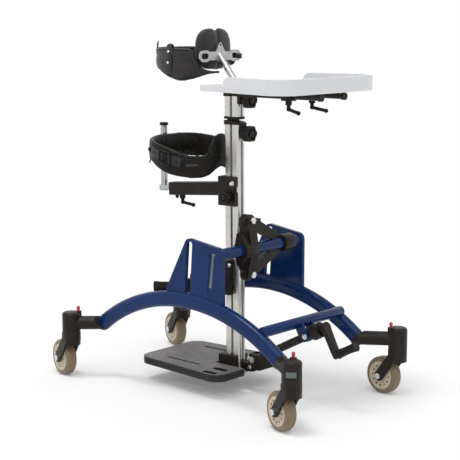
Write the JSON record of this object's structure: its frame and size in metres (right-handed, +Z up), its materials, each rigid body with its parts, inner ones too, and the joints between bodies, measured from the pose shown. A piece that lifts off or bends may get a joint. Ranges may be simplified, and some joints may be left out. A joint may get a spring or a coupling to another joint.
{
  "type": "standing frame",
  "caption": "Standing frame on swivel casters with an arched tube base, crank-tilted mast, footplate, knee, hip and chest supports and a sliding tray.",
  "frame": {"origin": "middle of the rectangle between the swivel axes, on the floor", "axes": "+Z up, -Y forward to the tray, +X to the user's left"},
  "size_m": [0.414, 0.7306, 0.769],
  "materials": {
    "blue_paint": "glossy stoved paint",
    "black_metal": "satin black coat",
    "bright_steel": "bright zinc plate",
    "silver_alloy": "satin anodised",
    "chrome": "polished plate",
    "brass": "turned",
    "brown_tyre": "translucent elastomer",
    "cream_plastic": "moulded",
    "red_plastic": "moulded",
    "grey_plastic": "formed sheet, light sheen",
    "black_plastic": "fine grained moulding",
    "padding": "soft foam with a smooth black cover"
  },
  "bodies": {
    "base": {"right_arch_tube": "blue_paint", "left_arch_tube": "blue_paint", "right_side_plate": "blue_paint", "left_side_plate": "blue_paint", "upper_cross_tube": "blue_paint", "lower_cross_bar": "blue_paint", "caster_arms": "black_metal", "caster_bearings": "bright_steel"},
    "front_right_caster": {"front_right_fork": "black_metal", "front_right_axle": "bright_steel"},
    "front_right_wheel": {"front_right_tyre": "brown_tyre", "front_right_hub": "cream_plastic"},
    "front_right_lock": {"front_right_pin": "red_plastic"},
    "front_left_caster": {"front_left_fork": "black_metal", "front_left_axle": "bright_steel"},
    "front_left_wheel": {"front_left_tyre": "brown_tyre", "front_left_hub": "cream_plastic"},
    "front_left_lock": {"front_left_pin": "red_plastic"},
    "rear_right_caster": {"rear_right_fork": "black_metal", "rear_right_axle": "bright_steel"},
    "rear_right_wheel": {"rear_right_tyre": "brown_tyre", "rear_right_hub": "cream_plastic"},
    "rear_right_lock": {"rear_right_pin": "red_plastic"},
    "rear_left_caster": {"rear_left_fork": "black_metal", "rear_left_axle": "bright_steel"},
    "rear_left_wheel": {"rear_left_tyre": "brown_tyre", "rear_left_hub": "cream_plastic"},
    "rear_left_lock": {"rear_left_pin": "red_plastic"},
    "mast": {"mast_profile": "silver_alloy", "mast_collar": "black_metal", "tilt_bracket": "black_metal", "mast_bolts": "bright_steel", "spindle_bracket": "black_metal"},
    "spindle": {"spindle_head": "black_metal"},
    "crank": {"crank_arm": "black_metal"},
    "grip": {"crank_grip": "black_plastic"},
    "tube": {"spindle_tube": "black_metal", "spindle_eye": "brass"},
    "foot": {"footplate": "black_plastic", "footplate_bracket": "black_metal"},
    "upper": {"upper_mast": "silver_alloy", "inner_slide": "bright_steel", "tray_rails": "black_metal"},
    "collar_turner": {"collar_knob": "black_plastic"},
    "tray_turner": {"tray_knob": "black_plastic"},
    "tray": {"tray_board": "grey_plastic", "tray_clamps": "black_metal"},
    "right_clamp": {"right_tray_lever": "black_plastic"},
    "left_clamp": {"left_tray_lever": "black_plastic"},
    "chest": {"chest_post": "chrome", "chest_plate": "silver_alloy", "chest_pad": "padding", "chest_band": "padding"},
    "hip": {"hip_arm": "black_metal"},
    "hip_turner": {"hip_knob": "black_plastic"},
    "hip_back": {"hip_post": "chrome", "hip_band": "padding"},
    "hip_clamp": {"hip_lever": "black_plastic"},
    "knee": {"knee_bracket": "black_metal", "knee_pads": "padding"}
  },
  "joints": [
    {"name": "front_right_swivel", "type": "hinge", "parent": "base", "child": "front_right_caster", "pos_m": [-0.179, -0.314, 0.12], "axis": [0, 0, 1], "continuous": true},
    {"name": "front_right_roll", "type": "hinge", "parent": "front_right_caster", "child": "front_right_wheel", "pos_m": [-0.16728, -0.27996, 0.04], "axis": [0.9455, -0.3256, 0], "continuous": true},
    {"name": "front_right_press", "type": "slide", "parent": "base", "child": "front_right_lock", "axis": [0, 0, 1], "range_m": [-0.004, 0], "stiffness_N_per_m": 400, "springref_m": 0.002},
    {"name": "front_left_swivel", "type": "hinge", "parent": "base", "child": "front_left_caster", "pos_m": [0.179, -0.314, 0.12], "axis": [0, 0, 1], "continuous": true},
    {"name": "front_left_roll", "type": "hinge", "parent": "front_left_caster", "child": "front_left_wheel", "pos_m": [0.18214, -0.27814, 0.04], "axis": [0.9962, -0.0872, 0], "continuous": true},
    {"name": "front_left_press", "type": "slide", "parent": "base", "child": "front_left_lock", "axis": [0, 0, 1], "range_m": [-0.004, 0], "stiffness_N_per_m": 400, "springref_m": 0.002},
    {"name": "rear_right_swivel", "type": "hinge", "parent": "base", "child": "rear_right_caster", "pos_m": [-0.179, 0.314, 0.12], "axis": [0, 0, 1], "continuous": true},
    {"name": "rear_right_roll", "type": "hinge", "parent": "rear_right_caster", "child": "rear_right_wheel", "pos_m": [-0.16968, 0.34877, 0.04], "axis": [0.9659, -0.2588, 0], "continuous": true},
    {"name": "rear_right_press", "type": "slide", "parent": "base", "child": "rear_right_lock", "axis": [0, 0, 1], "range_m": [-0.004, 0], "stiffness_N_per_m": 400, "springref_m": 0.002},
    {"name": "rear_left_swivel", "type": "hinge", "parent": "base", "child": "rear_left_caster", "pos_m": [0.179, 0.314, 0.12], "axis": [0, 0, 1], "continuous": true},
    {"name": "rear_left_roll", "type": "hinge", "parent": "rear_left_caster", "child": "rear_left_wheel", "pos_m": [0.19131, 0.34783, 0.04], "axis": [0.9397, -0.342, 0], "continuous": true},
    {"name": "rear_left_press", "type": "slide", "parent": "base", "child": "rear_left_lock", "axis": [0, 0, 1], "range_m": [-0.004, 0], "stiffness_N_per_m": 400, "springref_m": 0.002},
    {"name": "mast_tilt", "type": "hinge", "parent": "base", "child": "mast", "pos_m": [0, -0.081, 0.318], "axis": [1, 0, 0], "range_deg": [-3, 12]},
    {"name": "spindle_swing", "type": "hinge", "parent": "base", "child": "spindle", "pos_m": [0, -0.216, 0.15], "axis": [1, 0, 0], "range_deg": [-3, 9]},
    {"name": "crank_turn", "type": "hinge", "parent": "spindle", "child": "crank", "pos_m": [0, -0.25662, 0.17159], "axis": [0, -0.883, 0.4694], "range_deg": [-660, 2639]},
    {"name": "grip_spin", "type": "hinge", "parent": "crank", "child": "grip", "pos_m": [0, -0.3148, 0.13458], "axis": [0, -0.883, 0.4694], "continuous": true},
    {"name": "tube_swing", "type": "hinge", "parent": "mast", "child": "tube", "pos_m": [0, -0.07783, 0.07654], "axis": [1, 0, 0], "range_deg": [-4, 1.5]},
    {"name": "foot_lift", "type": "slide", "parent": "mast", "child": "foot", "axis": [0, 0.0087, 1], "range_m": [0, 0.08]},
    {"name": "upper_lift", "type": "slide", "parent": "mast", "child": "upper", "axis": [0, 0.0087, 1], "range_m": [0, 0.12]},
    {"name": "collar_knob_turn", "type": "hinge", "parent": "mast", "child": "collar_turner", "pos_m": [0, -0.05116, 0.55533], "axis": [0, -1, 0.0087], "continuous": true},
    {"name": "tray_knob_turn", "type": "hinge", "parent": "upper", "child": "tray_turner", "pos_m": [0, -0.05054, 0.62533], "axis": [0, -1, 0.0087], "continuous": true},
    {"name": "tray_reach", "type": "slide", "parent": "upper", "child": "tray", "axis": [0, -1, 0], "range_m": [-0.03, 0.05]},
    {"name": "right_clamp_turn", "type": "hinge", "parent": "tray", "child": "right_clamp", "pos_m": [-0.038, -0.188, 0.632], "axis": [0, 0, 1], "range_deg": [-70, 70]},
    {"name": "left_clamp_turn", "type": "hinge", "parent": "tray", "child": "left_clamp", "pos_m": [0.038, -0.188, 0.632], "axis": [0, 0, 1], "range_deg": [-70, 70]},
    {"name": "chest_lift", "type": "slide", "parent": "upper", "child": "chest", "axis": [0, 0.0087, 1], "range_m": [0, 0.03]},
    {"name": "hip_lift", "type": "slide", "parent": "mast", "child": "hip", "axis": [0, 0.0087, 1], "range_m": [-0.05, 0.06]},
    {"name": "hip_knob_turn", "type": "hinge", "parent": "hip", "child": "hip_turner", "pos_m": [-0.025, -0.01233, 0.42098], "axis": [-1, 0, 0], "continuous": true},
    {"name": "hip_reach", "type": "slide", "parent": "hip", "child": "hip_back", "axis": [0, 0.9965, -0.0837], "range_m": [0, 0.05]},
    {"name": "hip_clamp_turn", "type": "hinge", "parent": "hip", "child": "hip_clamp", "pos_m": [0, 0.14227, 0.42401], "axis": [0, 0.0837, 0.9965], "range_deg": [-80, 80]},
    {"name": "knee_lift", "type": "slide", "parent": "mast", "child": "knee", "axis": [0, 0.0087, 1], "range_m": [-0.03, 0.06]}
  ],
  "couplings": [
    {"joint": "spindle_swing", "follows": "mast_tilt", "ratio": 0.7011},
    {"joint": "tube_swing", "follows": "mast_tilt", "ratio": -0.2989},
    {"joint": "crank_turn", "follows": "mast_tilt", "ratio": 218.9}
  ]
}
